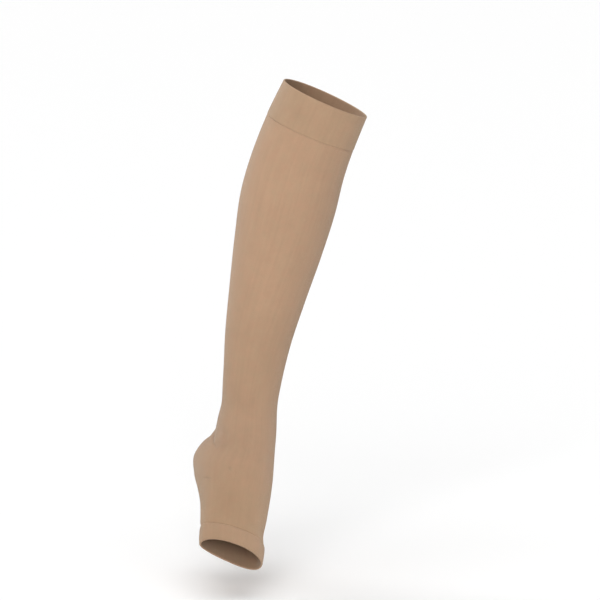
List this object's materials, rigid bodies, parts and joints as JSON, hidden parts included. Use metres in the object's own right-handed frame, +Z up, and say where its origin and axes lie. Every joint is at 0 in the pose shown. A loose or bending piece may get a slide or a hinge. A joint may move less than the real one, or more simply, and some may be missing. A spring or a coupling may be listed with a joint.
{
  "type": "compression stocking",
  "caption": "Knee-high open-toe compression stocking in its worn form: a hollow knitted tube with a doubled top band, shaped calf, ankle and heel pocket, and a doubled toe band.",
  "frame": {"origin": "on the leg's middle line in the top opening, where the wearer's calf holds the stocking up", "axes": "+Z up, along the stocking's longest extent as it is worn with the heel raised; toes towards -Y; +X to the inner side, where the big toe is"},
  "size_m": [0.1918, 0.1541, 0.5058],
  "materials": {
    "leg_knit": "fine smooth compression knit, matt, light brown",
    "foot_knit": "the same knit, denser and a little darker over the heel and foot",
    "band_knit": "doubled smooth knit, matt, light brown"
  },
  "bodies": {
    "root": {"top_band": "band_knit", "leg": "leg_knit", "foot": "foot_knit", "toe_band": "band_knit"}
  },
  "joints": []
}
